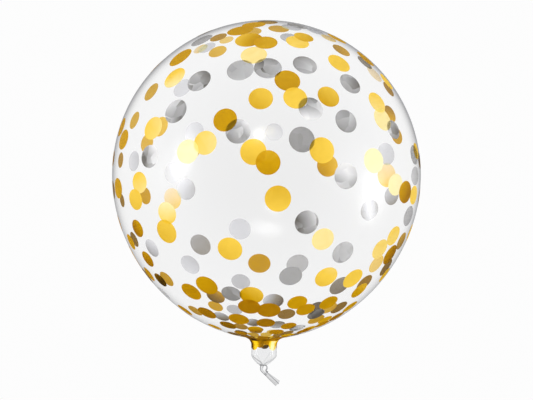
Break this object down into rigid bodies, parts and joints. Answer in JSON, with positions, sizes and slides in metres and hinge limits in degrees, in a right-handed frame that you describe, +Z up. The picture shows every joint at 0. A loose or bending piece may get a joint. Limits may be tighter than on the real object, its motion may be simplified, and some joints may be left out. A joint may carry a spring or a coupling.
{
  "type": "clear bubble balloon",
  "caption": "Round clear film balloon with a short tied neck, a pleated tail and a scatter of gold and silver dots, lying on its side.",
  "frame": {"origin": "middle of the flat spot that the globe rests on", "axes": "+Z up from the floor, +Y along the globe's axis from the tied neck to the crown, +X to the side that the tail leans to"},
  "size_m": [0.4, 0.4764, 0.3981],
  "materials": {
    "clear_film": "clear, glossy, colourless stretch film",
    "gold_print": "translucent metallic gold ink",
    "silver_print": "translucent metallic silver ink"
  },
  "bodies": {
    "root": {"balloon_film": "clear_film"}
  },
  "joints": []
}
